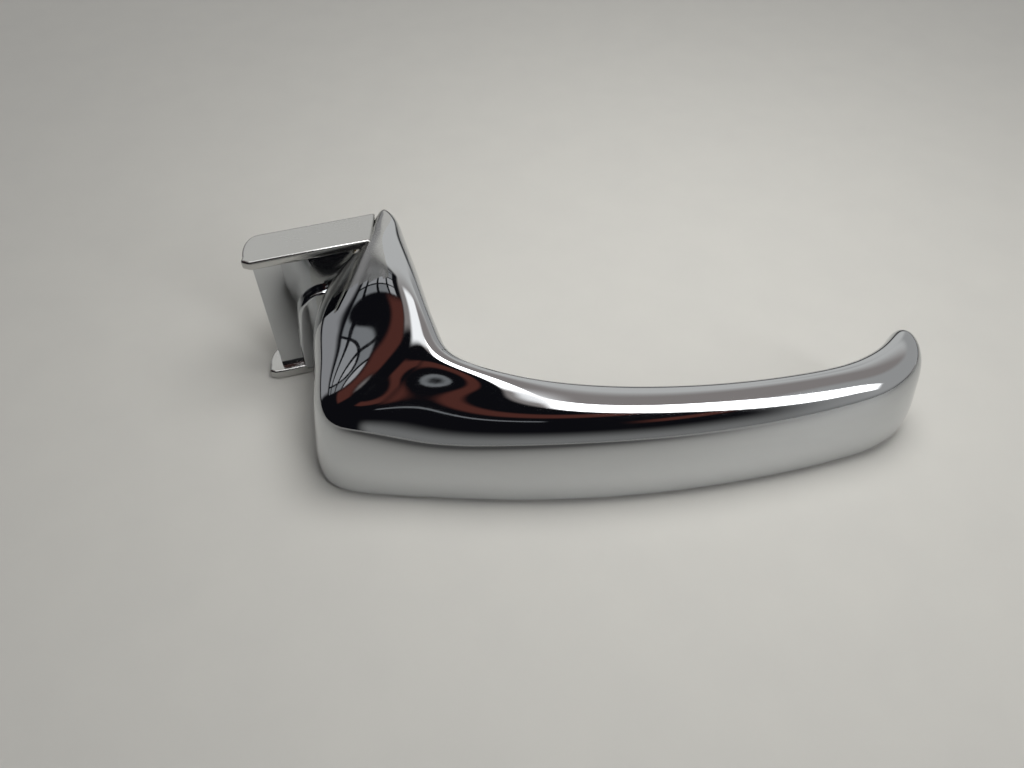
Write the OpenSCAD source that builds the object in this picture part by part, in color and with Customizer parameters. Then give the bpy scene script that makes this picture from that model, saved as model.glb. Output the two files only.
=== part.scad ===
// Car door handle: a plated L-shaped pull lever that turns about an upright pin in a
// pressed bracket, with a torsion spring, bushes and rubber stops behind its ears.
// X runs along the grip, +Y points into the door, +Z is up as fitted.

/* [Grip] */
// Height of the grip at mid length
grip_h = 28.4; // [27.6:0.2:29.2]
// Radius of the grip's outward bow, in plan
bow_r = 275; // [240:5:320]
// Wall of the plated body
wall = 2.2; // [1.8:0.1:2.6]
// Gap all round the inner cover
cover_gap = 0.15; // [0.1:0.05:0.25]

/* [Head] */
// Height over the two ears
head_h = 44.3; // [43:0.1:46]
// Thickness of each ear
ear_t = 3.2; // [2.8:0.1:3.6]
// Depth of the ears, near edge to far edge
ear_depth = 11.4; // [11:0.1:12]
// Length of the ears up to the neck
ear_len = 31; // [28:0.5:32]
// Angle of the head to the grip
head_angle = 17.6; // [17:0.1:18.2]

/* [Hinge] */
// Radius of the pivot pin
pin_r = 2; // [1.8:0.1:2.2]
// Place of the pin along the ears
pin_u = 18; // [17:0.5:19]
// Place of the pin behind the ears' near edge
pin_n = 7.8; // [7.6:0.1:7.9]
// Thickness of the bracket sheet
sheet_t = 1.6; // [1.4:0.1:1.8]
// Clearance between the turning faces
play = 0.3; // [0.25:0.05:0.4]

/* [Mounting] */
// Width of the bracket flange
flange_w = 23; // [22:0.5:24]
// Distance between the two fixing threads
nut_pitch = 13; // [12:0.5:14]
// Radius of the fixing threads
thread_r = 2.5; // [2:0.5:2.5]

/* [Hidden] */

// The origin sits under the middle of the whole part
mid = [2.925, 1.695];
// Near left corner of the ears, measured in the grip's own plan
head_at = [-82.6, 11.3] - mid;
turn_c = cos(head_angle);
turn_s = sin(head_angle);
pin_at = arm(pin_u, pin_n);
steps = 3;

// Heights of the pieces stacked on the pin, from the lower ear up
cheek_low = 6;
cheek_high = 29.4;
boss_h = 1.5;
bush_r = 2.7;
collar_r = 3.6;
flange_back = pin_at.y + 12.4;
fixing_x = pin_at.x + 4;
fixing_z = (cheek_low + cheek_high + sheet_t) / 2;
stop_arm_x = pin_at.x - 7.5;
// Stations of the grip where the stiffener is screwed down and the cover is clipped
screw_stations = [5, 7, 9];
clip_stations = [4, 6, 8];
clip_reach = 3.6;
stiffener_in = 4.8;
stiffener_t = 1.6;
stiffener_z = 11;
seat = 4;
insert_from = 2;

// Lower contact line of the grip's front, an arc
function front(x, out) = [x, -31.5 - out + (x + 13) * (x + 13) / (2 * bow_r)] - mid;
// A point given along and behind the ears
function arm(u, n) = head_at + [u * turn_c - n * turn_s, u * turn_s + n * turn_c];
function plan(x, y) = [x, y] - mid;
function mix(a, b, k) = a + (b - a) * k;

// Cross sections from the tip, along the grip and round into the neck. Each one has its
// finger-side foot, its outer foot, its lowest height, the height of the finger-side
// crest, the height of the outer ridge, how far the ridge stands in from the outer foot,
// the height where the outer wall starts to roll over, how far the crest stands in, and
// how far the top dips between ridge and crest.
stations = [
    [plan(84.6, 5.4), plan(92, 3.6), 8, 26.8, 26.4, 2.4, 18, 1.5, 0],
    [plan(83, 3), plan(93.8, -0.4), 5, 27.8, 27, 3.4, 17, 1.5, 0],
    [plan(79.2, -1), plan(93.2, -8), 2.4, 27.6, 26.4, 5, 15.6, 1.5, 0],
    [plan(72.4, -4.9), front(85, 1.6), 0.6, 27.2, 25.4, 6.4, 15, 1.6, 0],
    [plan(64.6, -7.6), front(73, 1.6), 0, 27, grip_h - 2.6, 7.2, 15, 1.6, 0],
    [plan(52.6, -10.4), front(58, 1.6), 0, 27.2, grip_h - 2.2, 7.6, 15.4, 1.6, 0],
    [plan(35.8, -13.4), front(38, 1.6), 0, 27.8, grip_h - 1.9, 7.6, 15.8, 1.6, 0],
    [plan(18, -14.8), front(17, 1.6), 0, 28.4, grip_h - 1.6, 7.8, 16, 1.6, 0],
    [plan(2.8, -15), front(-4, 1.6), 0, 29.4, grip_h - 1.4, 8.2, 16, 1.8, 0],
    [plan(-10.6, -14.2), front(-24, 1.6), 0, 31.2, grip_h - 1.2, 9.8, 16, 2.6, 0.4],
    [plan(-23, -12.6), front(-43, 1.6), 0, 34.6, grip_h - 1, 12, 15.4, 4, 1.4],
    [plan(-31, -10.6), plan(-62.6, -30.4), 0, 38, grip_h - 0.8, 8, 14.6, 5, 2.2],
    [plan(-33.4, -5), plan(-68, -22.6), 0, 41.4, grip_h - 0.2, 5.4, 15.4, 5.2, 2.6],
    [arm(41.2, -25), arm(7.4, -21.4), 0, 44.2, grip_h + 1, 4.8, 17.6, 5.2, 2],
    [arm(41.2, -17), arm(8.2, -11.6), 0, 46, grip_h + 3, 4.8, 19, 5.2, -0.8],
    [arm(41.2, -8), arm(11, -4), 0, 46.4, grip_h + 4.2, 5, 21, 5.2, -1.8],
    [arm(41, -1), arm(14.5, 2.2), 0, 46.4, grip_h + 4.4, 5, 23, 5, -2.2],
    [arm(40.8, 5), arm(30.5, 4.4), 0, 45.2, head_h + 0.8, 4, 40, 2, 0],
    [arm(40, 9), arm(32.5, 9), 0, 44.8, head_h + 0.6, 3, 41, 1.4, 0],
    [arm(38.2, 11.2), arm(33.5, 11.2), 0, 44.2, head_h + 0.2, 2.4, 41, 0.9, 0]
];

// Control points of one closed section, from under the middle, up the outside and back
function section(s) = let(
        w = norm(s[1] - s[0]),
        base = s[2],
        ridge = w - s[5],
        lean = min(1.5, 0.09 * w),
        rows = [[0.5 * w, base], [w - 1.6, base], [w, base + 1.6],
            [w - 0.2 * lean, mix(base, s[6], 0.58)], [w - lean, s[6]],
            [mix(w, ridge, 0.47), mix(s[6], s[4], 0.62)], [ridge, s[4]],
            [mix(s[7], ridge, 0.5), (s[3] + s[4]) / 2 + 0.8 - s[8]],
            [s[7], s[3]], [0, s[3] - 3.4], [0, mix(base, s[3], 0.5)],
            [0, base + 1.6], [1.6, base]])
    [for (r = rows) let(p = mix(s[0], s[1], r.x / w)) [p.x, p.y, r.y]];

// The same section shrunk by the wall, and a section drawn in towards its middle
function top_of(s) = max(s[3], s[4]);
function inset(c, s, t) = let(
        w = norm(s[1] - s[0]),
        h = top_of(s) - s[2],
        k = (w - 2 * t) / w,
        kz = (h - 2 * t) / h,
        m = (s[0] + s[1]) / 2,
        mz = s[2] + h / 2)
    [for (p = c) [mix(m.x, p.x, k), mix(m.y, p.y, k), mix(mz, p.z, kz)]];
function closed(c, k) = let(m = [for (i = [0:2]) mean([for (p = c) p[i]])])
    [for (p = c) m + (p - m) * k];
function mean(v) = v * [for (x = v) 1] / len(v);

// Cubic spline through a grid of control sections, as rings of points
function spline(a, b, c, d, t) = (a * pow(1 - t, 3) + b * (3 * t * t * t - 6 * t * t + 4)
    + c * (-3 * t * t * t + 3 * t * t + 3 * t + 1) + d * t * t * t) / 6;
function ring_points(c) = let(n = len(c))
    [for (j = [0:n - 1], t = [0:steps - 1])
        spline(c[(j + n - 1) % n], c[j], c[(j + 1) % n], c[(j + 2) % n], t / steps)];
function ends(rows) = concat([rows[0], rows[0]], rows, [rows[len(rows) - 1], rows[len(rows) - 1]]);
function rings(rows) = let(r = ends(rows), last = len(r) - 4)
    [for (i = [0:last], k = [0:steps - (i == last ? 0 : 1)])
        ring_points([for (j = [0:len(r[0]) - 1])
            spline(r[i][j], r[i + 1][j], r[i + 2][j], r[i + 3][j], k / steps)])];

// Outer rows close over at both ends. Inner rows follow them, a wall inside, and stop short.
outer_rows = [for (s = stations) section(s)];
inner_rows = [for (s = stations) inset(section(s), s, wall)];
last_station = len(stations) - 1;
function blend_rows(a, b, k) = [for (j = [0:len(a) - 1]) mix(a[j], b[j], k)];
outer_grid = rings(concat([closed(outer_rows[0], 0.3), closed(outer_rows[0], 0.85)], outer_rows,
    [closed(outer_rows[last_station], 0.85), closed(outer_rows[last_station], 0.3)]));
inner_grid = rings(concat(
    [closed(inner_rows[2], 0.3), closed(inner_rows[2], 0.85), inner_rows[2]],
    [for (k = [0.35, 0.7]) blend_rows(inner_rows[2], inner_rows[3], k)],
    [for (i = [3:16]) inner_rows[i]],
    [for (k = [0.4, 0.8]) blend_rows(inner_rows[16], inner_rows[17], k)],
    [inner_rows[17], closed(inner_rows[17], 0.85), closed(inner_rows[17], 0.3)]));
around = len(outer_grid[0]);
along = len(outer_grid);

// The window for the inner cover: rings from the hook to the neck, and points from just
// behind the crest, down the finger side, to the lower edge
window_from = (3 + 3) * steps;
window_to = (11 + 3) * steps;
window_top = 25;
window_low = 35;

function outer_at(i, j) = i * around + j % around;
function inner_at(i, j) = along * around + outer_at(i, j);
function in_window(i, j) = i >= window_from && i < window_to && j >= window_top && j < window_low;
function cell(a, b, c, d) = [[a, b, c], [a, c, d]];

// Hollow plated body: closed skin outside, closed skin inside, joined round the window
module handle_body() {
    cells = [for (i = [0:along - 2], j = [0:around - 1]) if (!in_window(i, j)) [i, j]];
    rim_j = [window_top:window_low - 1];
    rim_i = [window_from:window_to - 1];
    color("silver") polyhedron(
        points = concat([for (r = outer_grid) each r], [for (r = inner_grid) each r]),
        faces = concat(
            [for (c = cells) let(i = c.x, j = c.y)
                each cell(outer_at(i, j), outer_at(i + 1, j), outer_at(i + 1, j + 1), outer_at(i, j + 1))],
            [for (c = cells) let(i = c.x, j = c.y)
                each cell(inner_at(i, j), inner_at(i, j + 1), inner_at(i + 1, j + 1), inner_at(i + 1, j))],
            [for (j = rim_j) let(i = window_from)
                each cell(outer_at(i, j + 1), outer_at(i, j), inner_at(i, j), inner_at(i, j + 1))],
            [for (j = rim_j) let(i = window_to)
                each cell(outer_at(i, j), outer_at(i, j + 1), inner_at(i, j + 1), inner_at(i, j))],
            [for (i = rim_i) let(j = window_top)
                each cell(outer_at(i, j), outer_at(i + 1, j), inner_at(i + 1, j), inner_at(i, j))],
            [for (i = rim_i) let(j = window_low)
                each cell(outer_at(i + 1, j), outer_at(i, j), inner_at(i, j), inner_at(i + 1, j))],
            [[for (j = [0:around - 1]) outer_at(0, j)], [for (j = [around - 1:-1:0]) inner_at(0, j)],
            [for (j = [around - 1:-1:0]) outer_at(along - 1, j)], [for (j = [0:around - 1]) inner_at(along - 1, j)]]));
}

// A patch of a grid, drawn in at its edges by the cover's gap
function patch(grid) = let(
        n = window_to - window_from,
        m = window_low - window_top,
        side = [for (i = [0:n]) [for (j = [0:m]) grid[window_from + i][window_top + j]]],
        trimmed = [for (r = side) trim(r)],
        first = blend_gap(trimmed[0], trimmed[1]),
        final = blend_gap(trimmed[n], trimmed[n - 1]))
    concat([first], [for (i = [1:n - 1]) trimmed[i]], [final]);
function toward(a, b) = a + (b - a) * cover_gap / norm(b - a);
function trim(r) = let(m = len(r) - 1) concat([toward(r[0], r[1])], [for (j = [1:m - 1]) r[j]], [toward(r[m], r[m - 1])]);
function blend_gap(a, b) = [for (j = [0:len(a) - 1]) toward(a[j], b[j])];

// Finger side of the grip, let into the body's window
module inner_cover() {
    outside = patch(outer_grid);
    inside = patch(inner_grid);
    n = len(outside) - 1;
    m = len(outside[0]) - 1;
    color("gainsboro") polyhedron(
        points = concat([for (r = outside) each r], [for (r = inside) each r]),
        faces = concat(
            [for (i = [0:n - 1], j = [0:m - 1])
                each cell(spot(i, j, m), spot(i + 1, j, m), spot(i + 1, j + 1, m), spot(i, j + 1, m))],
            [for (i = [0:n - 1], j = [0:m - 1])
                each cell(under(i, j, n, m), under(i, j + 1, n, m), under(i + 1, j + 1, n, m), under(i + 1, j, n, m))],
            [for (j = [0:m - 1])
                each cell(spot(0, j, m), spot(0, j + 1, m), under(0, j + 1, n, m), under(0, j, n, m))],
            [for (j = [0:m - 1])
                each cell(spot(n, j + 1, m), spot(n, j, m), under(n, j, n, m), under(n, j + 1, n, m))],
            [for (i = [0:n - 1])
                each cell(spot(i + 1, 0, m), spot(i, 0, m), under(i, 0, n, m), under(i + 1, 0, n, m))],
            [for (i = [0:n - 1])
                each cell(spot(i, m, m), spot(i + 1, m, m), under(i + 1, m, n, m), under(i, m, n, m))]));
}
function spot(i, j, m) = i * (m + 1) + j;
function under(i, j, n, m) = (n + 1) * (m + 1) + spot(i, j, m);

// Ear outline in the head's own plan: straight near edge, rounded nose, long far edge
module ear_outline(nose) {
    polygon(concat([[-nose, 1.4], [-nose + 1.8, 0.2], [0, 0], [ear_len, 0],
        [ear_len + 3.4, ear_depth]],
        [for (a = [90:15:180]) [3 + (nose + 2.4) * cos(a), 3.2 + (ear_depth - 3.2) * sin(a)]]));
}

module head_frame() {
    translate([head_at.x, head_at.y, 0]) rotate(head_angle) children();
}

// Ears, web and arched pad in one piece, let into the neck and bored for the pin
module hinge_arm() {
    color("lightgray") difference() {
        head_frame() {
            translate([0, 0, head_h - ear_t]) linear_extrude(ear_t - 0.5) ear_outline(2.4);
            linear_extrude(ear_t) ear_outline(4.2);
            translate([0, 2.2, 1]) cube([26, 1.2, head_h - 3]);
            arch_pad();
            translate([pin_u, pin_n, head_h - ear_t - boss_h]) cylinder(r = 3.4, h = boss_h + 1, $fn = 48);
        }
        translate([pin_at.x, pin_at.y, -1]) cylinder(r = pin_r, h = head_h, $fn = 48);
    }
}

// Raised pad with an arched top, standing on the lower ear beside the neck
module arch_pad() {
    rotate([90, 0, 0]) translate([0, 0, -3.4]) linear_extrude(3.4)
        polygon(concat([[6, 1], [6.4, 12], [7.6, 19]],
            [for (a = [170:-20:10]) [16 + 8 * cos(a), 21 + 8.4 * sin(a)]], [[24, 1]]));
}

// Local X runs square in from the outer foot of a station, at the stiffener's mid height
module across(i) {
    foot = stations[i][1];
    inward = inward_at(i);
    translate([foot.x, foot.y, stiffener_z]) rotate(atan2(inward.y, inward.x)) children();
}
function inward_at(i) = let(t = unit(stations[i + 1][1] - stations[i - 1][1])) [t.y, -t.x];

module x_rod(r, h) {
    rotate([0, 90, 0]) cylinder(r = r, h = h, $fn = 32);
}

// Flat steel bar with a level seat at each station, that stops the thin shell from flexing
module grip_stiffener() {
    near = [for (i = [4:9], d = [-seat, seat]) seat_at(i, stiffener_in, d)];
    far = [for (i = [9:-1:4], d = [seat, -seat]) seat_at(i, stiffener_in + stiffener_t, d)];
    color("slategray") difference() {
        translate([0, 0, stiffener_z - 5]) linear_extrude(10) polygon(concat(near, far));
        for (i = screw_stations) across(i) translate([stiffener_in - 1, 0, 0]) x_rod(1.4, 4);
    }
}

function seat_at(i, d, side) = let(inward = inward_at(i))
    stations[i][1] + inward * d + [-inward.y, inward.x] * side;

// Brass inserts set in the body's wall, which the stiffener's screws go into
module threaded_inserts() {
    color("gold") for (i = screw_stations) across(i) difference() {
        translate([insert_from, 0, 0]) x_rod(2.2, stiffener_in - insert_from - 0.05);
        translate([insert_from - 1, 0, 0]) x_rod(1.1, stiffener_in);
    }
}

// Pan-head screws through the stiffener into the brass inserts
module stiffener_screws() {
    head_from = stiffener_in + stiffener_t + 0.05;
    color("darkgray") for (i = screw_stations) across(i) {
        translate([insert_from + 0.2, 0, 0]) x_rod(1.1, head_from - insert_from - 0.1);
        translate([head_from, 0, 0]) difference() {
            x_rod(2.3, 1.3);
            for (a = [0, 90]) translate([0.6, 0, 0]) rotate([a, 0, 0]) translate([0, -1.2, -0.3]) cube([1, 2.4, 0.6]);
        }
    }
}

// U-shaped spring clips between the stiffener and the inner cover
module cover_clips() {
    clip_t = 0.5;
    clip_w = 6;
    color("steelblue") for (i = clip_stations) across(i)
        translate([stiffener_in + stiffener_t + 0.05, -clip_w / 2, -3]) difference() {
            cube([clip_reach, clip_w, 6]);
            translate([clip_t, -1, clip_t]) cube([clip_reach, clip_w + 2, 6 - 2 * clip_t]);
        }
}

module on_pin(z = 0) {
    translate([pin_at.x, pin_at.y, z]) children();
}

module ring(inner, outer, h) {
    difference() {
        cylinder(r = outer, h = h, $fn = 64);
        translate([0, 0, -1]) cylinder(r = inner, h = h + 2, $fn = 64);
    }
}

// Ground pin, held in both ears, with a groove for its clip
module pivot_pin() {
    color("lightgray") on_pin(0.4) difference() {
        union() {
            cylinder(r = pin_r, h = head_h - 1.9, $fn = 64);
            translate([0, 0, head_h - 1.9]) cylinder(r1 = pin_r, r2 = pin_r - 0.5, h = 0.5, $fn = 64);
        }
        translate([0, 0, ear_t - 0.3]) ring(pin_r - 0.5, pin_r + 1, 0.7);
    }
}

// Open-sided retaining clip in the pin's groove
module pin_clip() {
    color("dimgray") on_pin(ear_t + 0.15) difference() {
        ring(pin_r - 0.45, collar_r, 0.6);
        rotate(-head_angle) translate([0, -1.3, -1]) cube([collar_r + 1, 2.6, 3]);
    }
}

module wave_washer() {
    color("silver") on_pin(4.05) ring(pin_r + 0.1, collar_r, 0.7);
}

// Flanged bush pressed into a cheek of the bracket
module flanged_bush() {
    difference() {
        union() {
            cylinder(r = collar_r, h = 0.9, $fn = 64);
            cylinder(r = bush_r, h = 0.9 + sheet_t + 0.6, $fn = 64);
        }
        translate([0, 0, -1]) cylinder(r = pin_r + 0.06, h = 5, $fn = 64);
    }
}

module lower_bush() {
    color("ivory") on_pin(cheek_low - 0.9) flanged_bush();
}

module upper_bush() {
    color("ivory") on_pin(cheek_high + sheet_t + 0.9) mirror([0, 0, 1]) flanged_bush();
}

module upper_washer() {
    color("silver") on_pin(cheek_high + sheet_t + 0.9 + play) ring(pin_r + 0.1, collar_r, 0.8);
}

// Plain tube that fills the pin between the bracket and the upper ear
module spacer_tube() {
    foot = cheek_high + sheet_t + 2.1 + play;
    color("darkgray") on_pin(foot) ring(pin_r + 0.1, 3.2, head_h - ear_t - boss_h - play - foot);
}

module spring_sleeve() {
    color("whitesmoke") on_pin(cheek_low + sheet_t + 0.9)
        ring(pin_r + 0.06, 2.6, cheek_high - cheek_low - sheet_t - 1.8);
}

// Torsion spring: a close coil round the sleeve, one leg on the web and one on the flange
wire_r = 0.4;
coil_r = 3.2;
coil_turns = 9;
coil_low = 10;
coil_high = 20;
coil_from = 196;
coil_to = coil_from + coil_turns * 360 - 105;
function coil_at(a, r, z) = [pin_at.x + r * cos(a), pin_at.y + r * sin(a), z];
function spring_path() = concat(
    [coil_at(coil_from, coil_r, coil_low) + leg(coil_from, -6)],
    [for (k = [0:100]) let(a = mix(coil_from, coil_to, k / 100)) coil_at(a, coil_r, mix(coil_low, coil_high, k / 100))],
    [coil_at(coil_to, coil_r, coil_high) + leg(coil_to, 5.6)]);
function leg(a, l) = [-l * sin(a), l * cos(a), 0];
function unit(v) = v / norm(v);

module swept(path, r, sides = 8) {
    n = len(path);
    tangents = [for (i = [0:n - 1]) unit(path[min(i + 1, n - 1)] - path[max(i - 1, 0)])];
    points = [for (i = [0:n - 1]) let(side = unit(cross(tangents[i], [0, 0, 1])), up = cross(side, tangents[i]))
        each [for (j = [0:sides - 1]) path[i] + r * (cos(360 * j / sides) * side + sin(360 * j / sides) * up)]];
    polyhedron(points, concat(
        [[for (j = [0:sides - 1]) j]],
        [for (i = [0:n - 2], j = [0:sides - 1]) let(a = i * sides + j, b = i * sides + (j + 1) % sides)
            each [[a, a + sides, b + sides], [a, b + sides, b]]],
        [[for (j = [sides - 1:-1:0]) (n - 1) * sides + j]]));
}

module return_spring() {
    color("black") swept(spring_path(), wire_r);
}

// Pressed bracket: two cheeks on the pin, a flange against the door and a stop arm
module hinge_bracket() {
    low = flange_back - pin_at.y;
    color("goldenrod") difference() {
        union() {
            for (z = [cheek_low, cheek_high]) {
                on_pin(z) cylinder(r = 4, h = sheet_t, $fn = 64);
                translate([pin_at.x - 4, pin_at.y, z]) cube([8, low, sheet_t]);
            }
            translate([fixing_x - flange_w / 2, flange_back - sheet_t, cheek_low])
                cube([flange_w, sheet_t, cheek_high + sheet_t - cheek_low]);
            translate([stop_arm_x, pin_at.y - 1, fixing_z - 4]) cube([sheet_t, low + 1, 8]);
        }
        for (z = [cheek_low, cheek_high]) on_pin(z - 1) cylinder(r = bush_r, h = sheet_t + 2, $fn = 64);
        for (z = [-1, 1]) translate([fixing_x, flange_back + 1, fixing_z + z * nut_pitch / 2])
            rotate([90, 0, 0]) cylinder(r = thread_r, h = sheet_t + 2, $fn = 48);
        stop_stem(1.2);
    }
}

module stop_stem(r) {
    translate([fixing_x + 9, flange_back - 0.2, fixing_z]) rotate([90, 0, 0]) cylinder(r = r, h = sheet_t, $fn = 48);
    translate([fixing_x + 9, flange_back + 0.5, fixing_z]) rotate([90, 0, 0]) cylinder(r = r, h = sheet_t, $fn = 48);
}

// Two weld nuts on the flange's inner face
module fixing_nuts() {
    color("silver") for (z = [-1, 1]) translate([fixing_x, flange_back - sheet_t, fixing_z + z * nut_pitch / 2])
        rotate([90, 0, 0]) difference() {
            cylinder(r = 4.6, h = 3.6, $fn = 6);
            translate([0, 0, -1]) cylinder(r = thread_r, h = 6, $fn = 48);
        }
}

// Rubber button that the neck closes against
module closed_stop() {
    color("black") {
        translate([fixing_x + 9, flange_back - sheet_t, fixing_z]) rotate([90, 0, 0]) cylinder(r = 2.2, h = 1.3, $fn = 48);
        translate([fixing_x + 9, flange_back - 0.3, fixing_z]) rotate([90, 0, 0]) cylinder(r = 1.15, h = sheet_t, $fn = 48);
    }
}

// Rubber cap on the stop arm, which the web meets when the handle is pulled right out
module open_stop() {
    color("black") difference() {
        translate([stop_arm_x - 0.8, pin_at.y - 2.6, fixing_z - 5]) cube([sheet_t + 1.6, 5, 10]);
        translate([stop_arm_x, pin_at.y - 1, fixing_z - 4]) cube([sheet_t, 6, 8]);
    }
}

handle_body();
hinge_arm();
inner_cover();
cover_clips();
grip_stiffener();
stiffener_screws();
threaded_inserts();
pivot_pin();
pin_clip();
wave_washer();
lower_bush();
upper_bush();
upper_washer();
spacer_tube();
spring_sleeve();
return_spring();
hinge_bracket();
fixing_nuts();
closed_stop();
open_stop();
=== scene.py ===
# Car door handle: plated pull lever on its hinge bracket, lying on a pale table
import math

import bpy
import bmesh
import numpy as np
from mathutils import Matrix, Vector


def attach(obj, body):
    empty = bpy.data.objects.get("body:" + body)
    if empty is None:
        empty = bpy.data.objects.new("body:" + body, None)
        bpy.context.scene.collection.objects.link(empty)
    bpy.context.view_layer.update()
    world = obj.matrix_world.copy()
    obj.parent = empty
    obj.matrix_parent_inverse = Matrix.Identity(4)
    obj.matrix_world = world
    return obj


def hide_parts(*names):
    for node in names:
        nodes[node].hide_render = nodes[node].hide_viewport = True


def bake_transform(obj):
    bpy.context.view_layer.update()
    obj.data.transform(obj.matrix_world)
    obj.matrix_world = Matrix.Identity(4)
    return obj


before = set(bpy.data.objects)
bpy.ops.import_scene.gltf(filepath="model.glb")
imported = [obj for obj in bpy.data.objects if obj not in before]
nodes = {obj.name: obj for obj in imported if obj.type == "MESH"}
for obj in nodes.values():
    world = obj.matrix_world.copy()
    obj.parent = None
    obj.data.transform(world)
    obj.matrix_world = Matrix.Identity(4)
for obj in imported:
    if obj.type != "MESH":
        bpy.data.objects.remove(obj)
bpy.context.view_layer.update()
mm = 0.001
print("frame loaded:", len(nodes), "nodes")


# camera first: a phone held close, looking down at the handle
camera = {"focusMm": 27.95, "sensorMm": 36.0, "aim": (-18.925, 7.305, 0.0), "away": 233.2,
          "lift": 48.5, "nearest": 0.01}


def makeCamera(c):
    lift = math.radians(c["lift"])
    data = bpy.data.cameras.new("phoneCamera")
    data.lens = c["focusMm"]
    data.sensor_width = c["sensorMm"]
    data.clip_start = c["nearest"]
    obj = bpy.data.objects.new("phoneCamera", data)
    aim = Vector(c["aim"]) * mm
    back = Vector((0, -math.cos(lift), math.sin(lift))) * c["away"] * mm
    obj.location = aim + back
    obj.rotation_euler = (math.pi / 2 - lift, 0, 0)
    bpy.context.scene.collection.objects.link(obj)
    bpy.context.scene.camera = obj


makeCamera(camera)
bpy.context.scene.view_settings.view_transform = "Standard"


# materials: one small helper puts a node in, with its settings and links
def hexColor(code):
    parts = [int(code[i:i + 2], 16) / 255 for i in (1, 3, 5)]
    linear = [v / 12.92 if v <= 0.04045 else ((v + 0.055) / 1.055) ** 2.4 for v in parts]
    return (*linear, 1.0)


def addNode(tree, kind, settings=None, **links):
    node = tree.nodes.new("ShaderNode" + kind)
    for name, value in (settings or {}).items():
        if isinstance(name, int) or name in node.inputs.keys():
            node.inputs[name].default_value = value
        else:
            setattr(node, name, value)
    for name, socket in links.items():
        key = int(name[1:]) if name[0] == "i" and name[1:].isdigit() else name.replace("_", " ")
        tree.links.new(socket, node.inputs[key])
    return node


def newMaterial(name, **settings):
    mat = bpy.data.materials.new(name)
    mat.use_nodes = True
    tree = mat.node_tree
    tree.nodes.clear()
    shader = addNode(tree, "BsdfPrincipled", {k.replace("_", " "): v for k, v in settings.items()})
    out = addNode(tree, "OutputMaterial")
    tree.links.new(shader.outputs[0], out.inputs[0])
    place = addNode(tree, "TexCoord").outputs["Object"]
    return mat, tree, shader, place


def ramp(tree, source, low, high, atLow, atHigh):
    limits = {"From Min": low, "From Max": high, "To Min": atLow, "To Max": atHigh}
    node = addNode(tree, "MapRange", {**limits, "interpolation_type": "SMOOTHSTEP"}, Value=source)
    return node.outputs["Result"]


# chromium plate, buffed: a mirror with a faint haze of wiping marks and finger grease
def chromePlate(name, roughLow, roughHigh, tint="#c6c8ca"):
    mat, tree, shader, place = newMaterial(name, Base_Color=hexColor(tint), Metallic=1.0,
                                           Roughness=roughLow)
    greasePerM, marksPerM, peelPerM = 45.0, (400, 4000, 4000), 180.0  # 20 mm, 0.25 mm, 5 mm
    haze = addNode(tree, "TexNoise", {"Scale": greasePerM, "Detail": 4.0, "Roughness": 0.6},
                   Vector=place)
    stretch = addNode(tree, "Mapping", {"Scale": marksPerM}, Vector=place)
    wipes = addNode(tree, "TexNoise", {"Scale": 1.0, "Detail": 2.0}, Vector=stretch.outputs[0])
    both = addNode(tree, "Math", {"operation": "MULTIPLY"}, i0=haze.outputs["Fac"],
                   i1=wipes.outputs["Fac"])
    rough = ramp(tree, both.outputs[0], 0.12, 0.45, roughLow, roughHigh)
    tree.links.new(rough, shader.inputs["Roughness"])
    orange = addNode(tree, "TexNoise", {"Scale": peelPerM, "Detail": 2.0}, Vector=place)
    bump = addNode(tree, "Bump", {"Strength": 0.02, "Distance": 0.05 * mm},
                   Height=orange.outputs["Fac"])
    tree.links.new(bump.outputs[0], shader.inputs["Normal"])
    return mat


mirrorChrome = chromePlate("chromePlateBuffed", 0.02, 0.07)
# the same plate over the cast head, which was never buffed: soft grey sheen
satinChrome = chromePlate("chromePlateSatin", 0.16, 0.3, "#c4c4c2")
print("chrome ready")


# zinc plated mild steel, pressed: dull blue-grey with mottled spangle
def platedSteel(name, low, high, rough, grainMm):
    bumpMm = 0.02
    mat, tree, shader, place = newMaterial(name, Metallic=1.0, Roughness=rough)
    grain = addNode(tree, "TexNoise", {"Scale": 1000 / grainMm, "Detail": 5.0, "Roughness": 0.65},
                    Vector=place)
    blend = addNode(tree, "Mix", {"data_type": "RGBA", 6: hexColor(low), 7: hexColor(high)},
                    i0=grain.outputs["Fac"])
    tree.links.new(blend.outputs[2], shader.inputs["Base Color"])
    sheen = ramp(tree, grain.outputs["Fac"], 0.3, 0.7, rough * 0.8, rough * 1.3)
    tree.links.new(sheen, shader.inputs["Roughness"])
    fine = addNode(tree, "TexNoise", {"Scale": 4000 / grainMm, "Detail": 3.0}, Vector=place)
    bump = addNode(tree, "Bump", {"Strength": 0.25, "Distance": bumpMm * mm},
                   Height=fine.outputs["Fac"])
    tree.links.new(bump.outputs[0], shader.inputs["Normal"])
    return mat


zincSteel = platedSteel("zincPlatedSteel", "#8e9398", "#b4b8ba", 0.34, 2.5)
# yellow chromate dip: straw gold that varies in patches
passivatedSteel = platedSteel("yellowPassivatedSteel", "#a98a45", "#c9b57a", 0.36, 4.0)
# hardened strip and drawn wire: dark, with a thin film of oil
springSteel = platedSteel("bluedSpringSteel", "#2c3440", "#4a5564", 0.3, 1.5)
springWire = platedSteel("oiledSpringWire", "#3a3a3c", "#5a5a5c", 0.25, 1.0)
# turned brass: warm yellow with a fine, even grain
turnedBrass = platedSteel("turnedBrass", "#a8884a", "#c8aa68", 0.28, 0.8)


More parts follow.
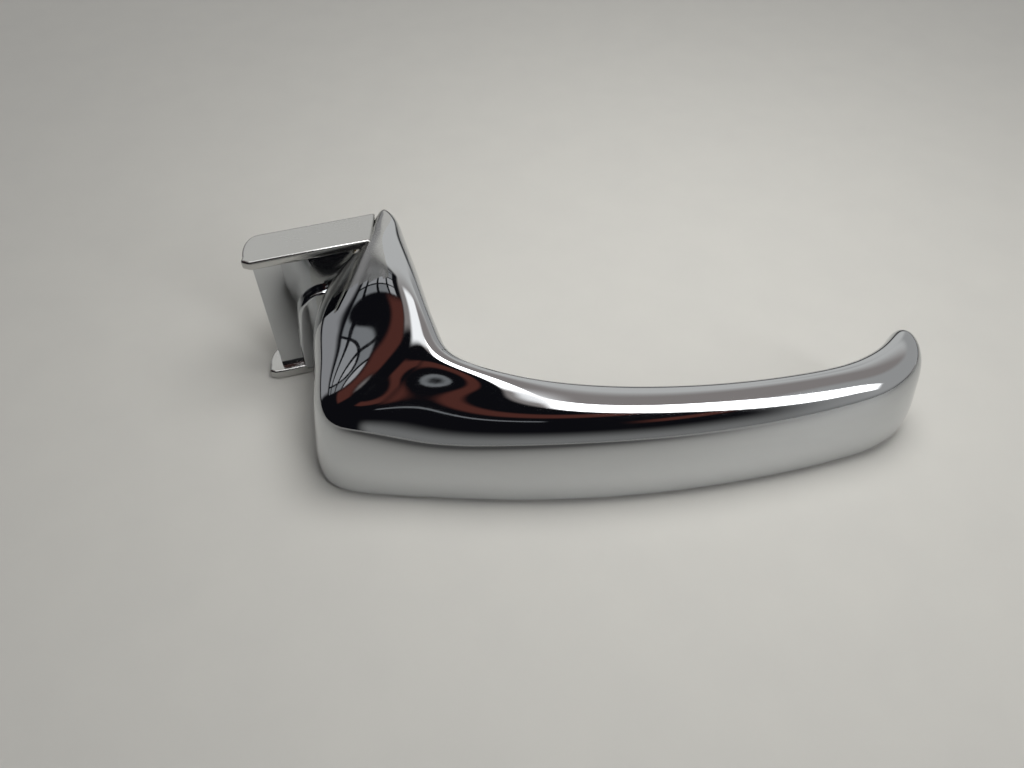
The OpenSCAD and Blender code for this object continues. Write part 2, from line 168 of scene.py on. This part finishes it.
# ground steel pin: fine rings round the axis that draw the highlight out
def groundSteel():
    mat, tree, shader, place = newMaterial("groundSteelPin", Base_Color=hexColor("#b9b9bb"),
                                           Metallic=1.0, Roughness=0.22)
    ringsPerM = (200, 200, 9000)  # 0.1 mm grinding lines
    rings = addNode(tree, "Mapping", {"Scale": ringsPerM}, Vector=place)
    lines = addNode(tree, "TexNoise", {"Scale": 1.0, "Detail": 2.0}, Vector=rings.outputs[0])
    sheen = ramp(tree, lines.outputs["Fac"], 0.3, 0.7, 0.14, 0.32)
    tree.links.new(sheen, shader.inputs["Roughness"])
    bump = addNode(tree, "Bump", {"Strength": 0.2, "Distance": 0.01 * mm},
                   Height=lines.outputs["Fac"])
    tree.links.new(bump.outputs[0], shader.inputs["Normal"])
    return mat


# moulded nylon and rubber: soft sheen, fine spark-eroded grain
def moulded(name, low, high, rough, grainMm, bumpMm):
    mat, tree, shader, place = newMaterial(name, Roughness=rough)
    cloud = addNode(tree, "TexNoise", {"Scale": 300.0, "Detail": 3.0}, Vector=place)  # 3 mm
    blend = addNode(tree, "Mix", {"data_type": "RGBA", 6: hexColor(low), 7: hexColor(high)},
                    i0=cloud.outputs["Fac"])
    tree.links.new(blend.outputs[2], shader.inputs["Base Color"])
    grain = addNode(tree, "TexNoise", {"Scale": 1000 / grainMm, "Detail": 2.0}, Vector=place)
    sheen = ramp(tree, grain.outputs["Fac"], 0.3, 0.7, rough * 0.85, rough * 1.15)
    tree.links.new(sheen, shader.inputs["Roughness"])
    bump = addNode(tree, "Bump", {"Strength": 0.35, "Distance": bumpMm * mm},
                   Height=grain.outputs["Fac"])
    tree.links.new(bump.outputs[0], shader.inputs["Normal"])
    return mat


groundPin = groundSteel()
nylon = moulded("mouldedNylon", "#d9d4c3", "#e6e2d4", 0.42, 0.5, 0.02)
rubber = moulded("mouldedRubber", "#161616", "#242423", 0.62, 0.4, 0.03)
print("steels, brass, nylon and rubber ready")

# the plated form, as cross sections from the tip round into the neck (mm, as the part's own
# plan); places round a section and along the stations are counted from 0
form = {
    "mid": (2.925, 1.695), "headAt": (-82.6, 11.3), "headTurn": 17.6, "bowRadius": 275.0,
    "gripHeight": 28.4, "headHeight": 44.3, "wall": 2.0, "alongSteps": 9, "roundSteps": 12,
    "coverFrom": 3, "coverTo": 11, "seamTop": 8.35, "seamLow": 11.6, "coverGap": 0.12,
    "satinFrom": 3.6, "satinTo": 7.7, "satinLowStation": 15.3, "satinTopStation": 13.9,
}


def plan(x, y):
    return (x - form["mid"][0], y - form["mid"][1])


def arm(u, n):
    turn = math.radians(form["headTurn"])
    c, s = math.cos(turn), math.sin(turn)
    return plan(form["headAt"][0] + u * c - n * s, form["headAt"][1] + u * s + n * c)


def front(x):
    return plan(x, -33.1 + (x + 13) ** 2 / (2 * form["bowRadius"]))


g, h = form["gripHeight"], form["headHeight"]
# finger-side foot, outer foot, lowest height, crest height, ridge height, ridge inset, shoulder
# height, how far the crest stands in, how deep the top dips between ridge and crest
stations = [
    (plan(84.6, 5.4), plan(92, 3.6), 8, 26.8, 26.4, 2.4, 18, 1.5, 0),
    (plan(83, 3), plan(93.8, -0.4), 5, 27.8, 27, 3.4, 17, 1.5, 0),
    (plan(79.2, -1), plan(93.2, -8), 2.4, 27.6, 26.4, 5, 15.6, 1.5, 0),
    (plan(72.4, -4.9), front(85), 0.6, 27.2, 25.4, 6.4, 15, 1.6, 0),
    (plan(64.6, -7.6), front(73), 0, 27, g - 2.6, 7.2, 15, 1.6, 0),
    (plan(52.6, -10.4), front(58), 0, 27.2, g - 2.2, 7.6, 15.4, 1.6, 0),
    (plan(35.8, -13.4), front(38), 0, 27.8, g - 1.9, 7.6, 15.8, 1.6, 0),
    (plan(18, -14.8), front(17), 0, 28.4, g - 1.6, 7.8, 16, 1.6, 0),
    (plan(2.8, -15), front(-4), 0, 29.4, g - 1.4, 8.2, 16, 1.8, 0),
    (plan(-10.6, -14.2), front(-24), 0, 31.2, g - 1.2, 9.8, 16, 2.6, 0.4),
    (plan(-23, -12.6), front(-43), 0, 34.6, g - 1, 12, 15.4, 4, 1.4),
    (plan(-31, -10.6), plan(-62.6, -30.4), 0, 38, g - 0.8, 8, 14.6, 5, 2.2),
    (plan(-33.4, -5), plan(-68, -22.6), 0, 41.4, g - 0.2, 5.4, 15.4, 5.2, 2.6),
    (arm(41.2, -25), arm(7.4, -21.4), 0, 44.2, g + 1, 4.8, 17.6, 5.2, 2),
    (arm(41.2, -17), arm(8.2, -11.6), 0, 46, g + 3, 4.8, 19, 5.2, -0.8),
    (arm(41.2, -8), arm(11, -4), 0, 46.4, g + 4.2, 5, 21, 5.2, -1.8),
    (arm(41, -1), arm(14.5, 2.2), 0, 46.4, g + 4.4, 5, 23, 5, -2.2),
    (arm(40.8, 5), arm(30.5, 4.4), 0, 45.2, h + 0.8, 4, 40, 2, 0),
    (arm(40, 9), arm(32.5, 9), 0, 44.8, h + 0.6, 3, 41, 1.4, 0),
    (arm(38.2, 11.2), arm(33.5, 11.2), 0, 44.2, h + 0.2, 2.4, 41, 0.9, 0),
]


def mix(a, b, k):
    return a + (b - a) * k


def section(s):
    inner, outer, base, crest, ridge, inset, shoulder, crestIn, dip = s
    inner, outer = np.array(inner), np.array(outer)
    wide = np.linalg.norm(outer - inner)
    top, lean = wide - inset, min(1.5, wide * 0.09)
    rows = [(0.5 * wide, base), (wide - 1.6, base), (wide, base + 1.6),
            (wide - 0.2 * lean, mix(base, shoulder, 0.58)), (wide - lean, shoulder),
            (mix(wide, top, 0.47), mix(shoulder, ridge, 0.62)), (top, ridge),
            (mix(crestIn, top, 0.5), (crest + ridge) / 2 + 0.8 - dip), (crestIn, crest), (0, crest - 3.4),
            (0, mix(base, crest, 0.5)), (0, base + 1.6), (1.6, base)]
    return np.array([[*mix(inner, outer, w / wide), z] for w, z in rows])


def drawnIn(c, k):
    m = c.mean(axis=0)
    return m + (c - m) * k


def splineWeights(t):
    return np.array([(1 - t) ** 3, 3 * t ** 3 - 6 * t ** 2 + 4,
                     -3 * t ** 3 + 3 * t ** 2 + 3 * t + 1, t ** 3]) / 6


def loftGrid(rows, along, around):
    r = np.array([rows[0]] * 2 + list(rows) + [rows[-1]] * 2)
    wide = np.array([splineWeights(k / around) for k in range(around)])
    tall = np.array([splineWeights(k / along) for k in range(along)])
    n = r.shape[1]
    loops = np.array([[sum(w[q] * r[:, (j + q - 1) % n] for q in range(4)) for w in wide]
                      for j in range(n)])
    loops = loops.reshape(n * around, len(r), 3).transpose(1, 0, 2)
    grid = [sum(w[q] * loops[i + q] for q in range(4)) for i in range(len(r) - 3) for w in tall]
    grid.append(sum(splineWeights(1.0)[q] * loops[len(r) - 4 + q] for q in range(4)))
    return np.array(grid) * mm


def meshFrom(name, points, faces, mats, faceMat=None):
    mesh = bpy.data.meshes.new(name)
    mesh.from_pydata([tuple(p) for p in points], [], faces)
    for m in mats:
        mesh.materials.append(m)
    if faceMat is not None:
        mesh.polygons.foreach_set("material_index", faceMat)
    mesh.polygons.foreach_set("use_smooth", [True] * len(mesh.polygons))
    mesh.update()
    obj = bpy.data.objects.new(name, mesh)
    bpy.context.scene.collection.objects.link(obj)
    return obj


def applyModifiers(obj):
    deps = bpy.context.evaluated_depsgraph_get()
    done = bpy.data.meshes.new_from_object(obj.evaluated_get(deps))
    obj.modifiers.clear()
    obj.data = done


def modifier(obj, kind, **settings):
    m = obj.modifiers.new(kind.lower(), kind)
    for name, value in settings.items():
        setattr(m, name, value)
    return m


def sharpen(obj, degrees=34):
    obj.data.set_sharp_from_angle(angle=math.radians(degrees))


rows = [section(s) for s in stations]
tipEnd = [drawnIn(rows[0], 0.3), drawnIn(rows[0], 0.85)]
neckEnd = [drawnIn(rows[-1], 0.85), drawnIn(rows[-1], 0.3)]
rows = tipEnd + rows + neckEnd
grid = loftGrid(rows, form["alongSteps"], form["roundSteps"])
ringCount, roundCount = grid.shape[:2]


def stationRing(q):
    return int(round((q + 3) * form["alongSteps"]))


coverRings = (stationRing(form["coverFrom"]), stationRing(form["coverTo"]))
coverRound = [int(form[k] * form["roundSteps"]) for k in ("seamTop", "seamLow")]


# skin of the body: the whole loft without the finger-side window, closed at both ends
def skinPatch(name, keep, mats, matOf):
    used, points, faces, slots = {}, [], [], []

    def corner(i, j):
        key = (i, j % roundCount)
        if key not in used:
            used[key] = len(points)
            points.append(grid[key])
        return used[key]

    for i in range(ringCount - 1):
        for j in range(roundCount):
            if keep(i, j):
                faces.append((corner(i, j), corner(i, j + 1), corner(i + 1, j + 1),
                              corner(i + 1, j)))
                slots.append(matOf(i, j))
    for i, order in ((0, 1), (ringCount - 1, -1)):
        faces.append(tuple(corner(i, j) for j in range(roundCount))[::-order])
        slots.append(matOf(i, 0))
    return meshFrom(name, points, faces, mats, slots)


def inWindow(i, j):
    return coverRings[0] <= i < coverRings[1] and coverRound[0] <= j < coverRound[1]


# the neck's sloping side is left satin where it runs out to the ears
def neckSatin(i, j):
    low, high = form["satinFrom"], form["satinTo"]
    at = j / form["roundSteps"]
    if not low < at < high:
        return 0
    edge = mix(form["satinLowStation"], form["satinTopStation"], (at - low) / (high - low))
    return int(i > stationRing(edge))


seamAngle = 50
skin = skinPatch("handleSkin", lambda i, j: not inWindow(i, j), [mirrorChrome, satinChrome],
                 neckSatin)
modifier(skin, "SOLIDIFY", thickness=form["wall"] * mm, offset=-1.0, use_even_offset=False)
applyModifiers(skin)
sharpen(skin, seamAngle)
print("handle skin ready:", len(skin.data.polygons), "faces")

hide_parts("handle_body")
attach(skin, "handle")


# finger side of the grip: the same surface, a hair smaller than its window
def gridPatch(name, rings, cols, mats, gap):
    patch = grid[rings[0]:rings[1] + 1, cols[0]:cols[1] + 1].copy()
    for near, far, axis in ((0, 1, 0), (-1, -2, 0), (0, 1, 1), (-1, -2, 1)):
        edge, beside = np.take(patch, near, axis), np.take(patch, far, axis)
        step = beside - edge
        moved = edge + step * (gap * mm / np.linalg.norm(step, axis=1, keepdims=True))
        if axis == 0:
            patch[near] = moved
        else:
            patch[:, near] = moved
    a, b = patch.shape[:2]
    faces = [(i * b + j, i * b + j + 1, (i + 1) * b + j + 1, (i + 1) * b + j)
             for i in range(a - 1) for j in range(b - 1)]
    return meshFrom(name, patch.reshape(-1, 3), faces, mats)


cover = gridPatch("innerCover", coverRings, coverRound, [mirrorChrome], form["coverGap"])
modifier(cover, "SOLIDIFY", thickness=form["wall"] * mm, offset=-1.0)
applyModifiers(cover)
modifier(cover, "BEVEL", width=0.12 * mm, segments=2, limit_method="ANGLE",
         angle_limit=math.radians(seamAngle))
applyModifiers(cover)
sharpen(cover, seamAngle)
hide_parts("inner_cover")
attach(cover, "handle")
print("inner cover ready")

# hinge arm: ears, web, arched pad and the boss that the pin sits in
ears = {"thick": 3.2, "under": 0.5, "depth": 11.4, "long": 31.0, "noseTop": 2.4, "noseLow": 4.2,
        "edge": 0.7, "webAt": 2.2, "webThick": 1.2, "webLong": 26.0, "padMiddle": 16.0,
        "padSpring": 21.0, "padWide": 8.0, "padRise": 8.4, "padEdge": 0.8, "pinAt": (18.0, 7.8),
        "pinRadius": 2.0, "bossRadius": 3.4, "bossFrom": 39.6, "bossTo": 41.6, "bossEdge": 0.3}


def armPoint(u, n, z):
    x, y = arm(u, n)
    return Vector((x, y, z)) * mm


def extruded(name, outline, low, high, toWorld, mats, bevel=0.0):
    bm = bmesh.new()
    under = [bm.verts.new(toWorld(p, low)) for p in outline]
    over = [bm.verts.new(toWorld(p, high)) for p in outline]
    bm.faces.new(under[::-1])
    bm.faces.new(over)
    count = len(outline)
    for i in range(count):
        k = (i + 1) % count
        bm.faces.new((under[i], under[k], over[k], over[i]))
    bmesh.ops.recalc_face_normals(bm, faces=bm.faces)
    mesh = bpy.data.meshes.new(name)
    bm.to_mesh(mesh)
    bm.free()
    for m in mats:
        mesh.materials.append(m)
    obj = bpy.data.objects.new(name, mesh)
    bpy.context.scene.collection.objects.link(obj)
    cornerAngle = 40
    if bevel:
        modifier(obj, "BEVEL", width=bevel * mm, segments=4, limit_method="ANGLE",
                 angle_limit=math.radians(cornerAngle))
        applyModifiers(obj)
    obj.data.polygons.foreach_set("use_smooth", [True] * len(obj.data.polygons))
    sharpen(obj, cornerAngle)
    return obj


def earOutline(nose):
    e = ears
    near = [(-nose, 1.4), (-nose + 1.8, 0.2), (0, 0), (e["long"], 0), (e["long"] + 3.4, e["depth"])]
    far = [(3 + (nose + 2.4) * math.cos(a), 3.2 + (e["depth"] - 3.2) * math.sin(a))
           for a in [math.radians(d) for d in range(90, 186, 6)]]
    return near + far


def flat(p, z):
    return armPoint(p[0], p[1], z)


def upright(p, n):
    return armPoint(p[0], n, p[1])


headTop = form["headHeight"]
topEar = extruded("topEar", earOutline(ears["noseTop"]), headTop - ears["thick"],
                  headTop - ears["under"], flat, [satinChrome], ears["edge"])
lowEar = extruded("lowEar", earOutline(ears["noseLow"]), 0, ears["thick"], flat, [satinChrome],
                  ears["edge"])
webEdge = [(u, z) for u, z in ((0, 1), (ears["webLong"], 1), (ears["webLong"], headTop - 2),
                               (0, headTop - 2))]
web = extruded("web", webEdge, ears["webAt"], ears["webAt"] + ears["webThick"], upright,
               [mirrorChrome])
padEdge = [(6, 1), (6.4, 12), (7.6, 19)]
padEdge += [(ears["padMiddle"] + ears["padWide"] * math.cos(a),
             ears["padSpring"] + ears["padRise"] * math.sin(a))
            for a in [math.radians(d) for d in range(172, 4, -8)]] + [(24, 1)]
pad = extruded("pad", padEdge, 0, ears["webAt"] + 1, upright, [mirrorChrome], ears["padEdge"])


def lathe(name, profile, centre, mats):
    points, faces = [], []
    closed, around = len(profile), 64
    for k in range(around):
        a = 2 * math.pi * k / around
        for r, z in profile:
            points.append((Vector((r * math.cos(a), r * math.sin(a), z)) + Vector(centre)) * mm)
    for k in range(around):
        for j in range(closed):
            a, b = k * closed + j, k * closed + (j + 1) % closed
            c, d = (k + 1) % around * closed + j, (k + 1) % around * closed + (j + 1) % closed
            faces.append((a, c, d, b))
    obj = meshFrom(name, points, faces, mats)
    bm = bmesh.new()
    bm.from_mesh(obj.data)
    bmesh.ops.recalc_face_normals(bm, faces=bm.faces)
    bm.to_mesh(obj.data)
    bm.free()
    sharpen(obj, 34)
    return obj


pinSpot = arm(*ears["pinAt"])
bossOut, bossLow, bossHigh = ears["bossRadius"], ears["bossFrom"], ears["bossTo"]
bossEdge = [(ears["pinRadius"], bossLow), (bossOut - ears["bossEdge"], bossLow),
            (bossOut, bossLow + ears["bossEdge"]), (bossOut, bossHigh), (ears["pinRadius"], bossHigh)]
boss = lathe("boss", bossEdge, (*pinSpot, 0), [satinChrome])


def joined(name, parts):
    bpy.ops.object.select_all(action="DESELECT")
    for p in parts:
        p.select_set(True)
    bpy.context.view_layer.objects.active = parts[0]
    bpy.ops.object.join()
    parts[0].name = name
    return parts[0]


armPiece = joined("hingeArm", [topEar, lowEar, web, pad, boss])
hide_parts("hinge_arm")
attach(armPiece, "handle")
print("hinge arm ready")

# torsion spring: a wound coil with a straight leg at each end
spring = {"wire": 0.4, "coil": 3.2, "turns": 9, "short": 105, "low": 10.0, "high": 20.0,
          "start": 196.0, "legLow": -6.0, "legHigh": 5.6, "steps": 400}


def coilPath(s):
    end = s["start"] + s["turns"] * 360 - s["short"]

    def at(k):
        a = math.radians(mix(s["start"], end, k))
        return Vector((pinSpot[0] + s["coil"] * math.cos(a), pinSpot[1] + s["coil"] * math.sin(a),
                       mix(s["low"], s["high"], k)))

    def leg(degrees, length):
        a = math.radians(degrees)
        return Vector((-math.sin(a), math.cos(a), 0)) * length

    path = [at(k / s["steps"]) for k in range(s["steps"] + 1)]
    return [path[0] + leg(s["start"], s["legLow"])] + path + [path[-1] + leg(end, s["legHigh"])]


def sweptTube(name, path, radius, mats):
    points, faces, sides = [], [], 14
    for i, p in enumerate(path):
        ahead = (path[min(i + 1, len(path) - 1)] - path[max(i - 1, 0)]).normalized()
        side = ahead.cross(Vector((0, 0, 1))).normalized()
        up = side.cross(ahead)
        points += [(p + radius * (math.cos(a) * side + math.sin(a) * up)) * mm
                   for a in [2 * math.pi * j / sides for j in range(sides)]]
    for i in range(len(path) - 1):
        for j in range(sides):
            k = (j + 1) % sides
            faces.append((i * sides + j, (i + 1) * sides + j, (i + 1) * sides + k,
                          i * sides + k))
    last = (len(path) - 1) * sides
    faces += [tuple(range(sides)), tuple(last + j for j in range(sides - 1, -1, -1))]
    return meshFrom(name, points, faces, mats)


coil = sweptTube("returnSpring", coilPath(spring), spring["wire"], [springWire])
sharpen(coil, 60)
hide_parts("return_spring")
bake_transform(coil)
print("return spring ready")

# the plain turned and pressed pieces keep their own shape; they get finishes and softened edges
edgeMm = 0.1
finishes = {
    "cover_clips": springSteel, "grip_stiffener": zincSteel, "stiffener_screws": zincSteel,
    "threaded_inserts": turnedBrass, "pivot_pin": groundPin, "pin_clip": springSteel,
    "wave_washer": springSteel,
    "lower_bush": nylon, "upper_bush": nylon, "upper_washer": nylon, "spacer_tube": zincSteel,
    "spring_sleeve": nylon, "hinge_bracket": passivatedSteel, "fixing_nuts": zincSteel,
    "closed_stop": rubber, "open_stop": rubber,
}
for nodeName, finish in finishes.items():
    piece = nodes[nodeName]
    piece.data.materials.clear()
    piece.data.materials.append(finish)
    modifier(piece, "BEVEL", width=edgeMm * mm, segments=2, limit_method="ANGLE",
             angle_limit=math.radians(50))
print("finishes given to", len(finishes), "pieces")

# pale laminate table, 6 m across: matt, with a faint cloudiness; what the plating reflects of it
# carries painted shade, darker round a spot on the near side
table = {"half": 3.0, "near": "#c9c8c4", "far": "#cfcec9", "paintedShadeAt": (-0.03, -0.36, 0.0),
         "paintedShadeFrom": 0.12, "paintedShadeTo": 0.33, "paintedShadeLow": 0.14}


def paleLaminate(t):
    mat, tree, shader, place = newMaterial("paleLaminate", Roughness=0.55)
    speck = addNode(tree, "TexNoise", {"Scale": 60.0, "Detail": 4.0}, Vector=place)
    tones = {6: hexColor(t["near"]), 7: hexColor(t["far"])}
    tone = addNode(tree, "Mix", {"data_type": "RGBA", **tones}, i0=speck.outputs["Fac"])
    # painted shade: round a spot on the near side of the table the tone is darkened, and only reflections
    # in the plating see it
    spot = addNode(tree, "VectorMath", {"operation": "DISTANCE", 1: t["paintedShadeAt"]}, i0=place)
    paintedShade = ramp(tree, spot.outputs["Value"], t["paintedShadeFrom"], t["paintedShadeTo"], t["paintedShadeLow"], 1.0)
    dark = addNode(tree, "Mix", {"data_type": "RGBA", 6: (0, 0, 0, 1)}, i0=paintedShade,
                   i7=tone.outputs[2])
    ray = addNode(tree, "LightPath")
    pick = addNode(tree, "Mix", {"data_type": "RGBA"}, i0=ray.outputs["Is Glossy Ray"],
                   i6=tone.outputs[2], i7=dark.outputs[2])
    tree.links.new(pick.outputs[2], shader.inputs["Base Color"])
    return mat


bpy.ops.mesh.primitive_plane_add(size=2 * table["half"], location=(0, 0, 0))
floor = bpy.context.object
floor.name = "tableTop"
floor.data.materials.append(paleLaminate(table))

# the room, as soft light by direction: a long lamp from overhead down to the right, a pale
# skylight, grey ceiling, dark front and left wall with window panes, lighter wall on the right
room = {"lamp": (7.0,) * 3, "skylight": (1.5,) * 3, "ceiling": (0.7, 0.7, 0.685),
        "ceilingNear": (0.34, 0.31, 0.3), "dark": (0.006, 0.006, 0.008),
        "brown": (0.11, 0.036, 0.028), "rightWall": (0.46, 0.46, 0.455),
        "behind": (0.05, 0.05, 0.05), "lowFront": (0.24, 0.24, 0.235),
        "leftWall": (0.34, 0.34, 0.35), "backdrop": (0.6, 0.6, 0.59), "pane": (0.5, 0.5, 0.51),
        "paneDim": (0.22, 0.23, 0.24), "fill": (0.3,) * 3}
# the window's panes, in degrees
window = {"Scale": 1.0, "Mortar Size": 0.7, "Mortar Smooth": 0.1, "Brick Width": 9.0,
          "Row Height": 6.5, "offset": 0.0}
# patches of the room from the back one to the front one: what they show, bearing from and to,
# height from and to, softness of the side edges and of the top and bottom edges (degrees)
patches = [
    ("rightWall", 46, 150, 3, 44, 8.0, 4.0), ("dark", -132, -16, -4, 57, 4.0, 2.0),
    ("leftWall", -150, -104, 4, 26, 3.0, 2.0), ("panes", -128, -101, 29, 51, 1.0, 0.6),
    ("paneDim", -14, 4, 44, 45.5, 1.5, 0.5), ("brown", -99, -78, 43, 56, 3.0, 2.0),
    ("brown", -46, -16, 53, 57.5, 4.0, 1.0), ("brown", -14, 30, 51, 57, 6.0, 1.5),
    ("brown", 24, 40, 33, 38, 5.0, 1.5),
]


def makeRoom(r):
    world = bpy.data.worlds.new("room")
    bpy.context.scene.world = world
    world.use_nodes = True
    tree = world.node_tree
    tree.nodes.clear()

    def maths(operation, a, b):
        other = {"i1": b} if hasattr(b, "node") else {}
        return addNode(tree, "Math", {"operation": operation, 1: 0.0 if other else b}, i0=a,
                       **other).outputs[0]

    def band(source, low, high, soft):
        return maths("MULTIPLY", ramp(tree, source, low - soft, low + soft, 0, 1),
                     ramp(tree, source, high - soft, high + soft, 1, 0))

    def fixed(color):
        n = addNode(tree, "RGB")
        n.outputs[0].default_value = (*color, 1)
        return n.outputs[0]

    def layered(fac, under, over):
        return addNode(tree, "Mix", {"data_type": "RGBA"}, i0=fac, i6=under, i7=over).outputs[2]

    def inDegrees(operation, **links):
        angle = addNode(tree, "Math", {"operation": operation}, **links).outputs[0]
        return maths("MULTIPLY", angle, 180 / math.pi)

    place = addNode(tree, "TexCoord").outputs["Generated"]
    x, y, z = addNode(tree, "SeparateXYZ", Vector=place).outputs
    toFront = maths("MULTIPLY", y, -1.0)
    # height over the front horizon, through the zenith to the back; bearing from the front
    lift = inDegrees("ARCTAN2", i0=z, i1=toFront)
    bearing = inDegrees("ARCTAN2", i0=x, i1=toFront)
    rise = inDegrees("ARCSINE", i0=z)  # true height

    def patch(left, right, low, high, soft, softUp):
        return maths("MULTIPLY", band(bearing, left, right, soft), band(rise, low, high, softUp))

    # the lamp runs from overhead down to the right; "slant" is constant along it
    slope = maths("ADD", maths("MULTIPLY", x, 30.0), 40.0)
    slant = maths("ADD", lift, maths("MULTIPLY", x, slope))
    ceiling = layered(ramp(tree, lift, 98, 126, 0, 1), fixed(r["ceilingNear"]), fixed(r["ceiling"]))
    sky = layered(ramp(tree, slant, 70, 74, 0, 1), fixed(r["dark"]), ceiling)
    sky = layered(patch(-36, 70, -30, 15, 12.0, 11.0), sky, fixed(r["lowFront"]))
    sky = layered(ramp(tree, lift, 160, 174, 0, 1), sky, fixed(r["behind"]))
    cells = addNode(tree, "CombineXYZ", X=bearing, Y=rise)
    glass = {"Color1": (*r["pane"], 1), "Color2": (*r["paneDim"], 1), "Mortar": (*r["dark"], 1)}
    panes = addNode(tree, "TexBrick", {**window, **glass}, Vector=cells.outputs[0])
    for what, *edges in patches:
        color = panes.outputs["Color"] if what == "panes" else fixed(r[what])
        sky = layered(patch(*edges), sky, color)
    lamp = maths("MULTIPLY", band(x, 0.1, 0.76, 0.04), band(slant, 72, 88, 1.5))
    sky = layered(lamp, sky, fixed(r["lamp"]))
    skylight = maths("MULTIPLY", band(x, -0.36, 0.1, 0.06), band(lift, 76, 105, 3.0))
    sky = layered(skylight, sky, fixed(r["skylight"]))
    # the table is lit by a dimmed room, and what lies beyond the table is a plain backdrop
    ray = addNode(tree, "LightPath")
    dimmed = layered(ray.outputs["Is Diffuse Ray"], fixed((1, 1, 1)), fixed(r["fill"]))
    sky = addNode(tree, "Mix", {"data_type": "RGBA", "blend_type": "MULTIPLY", 0: 1.0}, i6=sky,
                  i7=dimmed).outputs[2]
    seen = layered(ray.outputs["Is Camera Ray"], sky, fixed(r["backdrop"]))
    shader = addNode(tree, "Background", Color=seen)
    addNode(tree, "OutputWorld", Surface=shader.outputs[0])


# a broad soft lamp over the grip, so the light falls away towards the edges of the table
softLamp = {"at": (0.05, 0.04, 0.28), "wide": 0.2, "power": 0.62, "tint": (1.0, 0.99, 0.965)}


def addSoftLamp(s):
    data = bpy.data.lights.new("softLamp", "AREA")
    data.shape, data.size, data.energy, data.color = "DISK", s["wide"], s["power"], s["tint"]
    obj = bpy.data.objects.new("softLamp", data)
    obj.location = s["at"]
    obj.visible_glossy = False
    bpy.context.scene.collection.objects.link(obj)


addSoftLamp(softLamp)
makeRoom(room)
print("room and table ready")
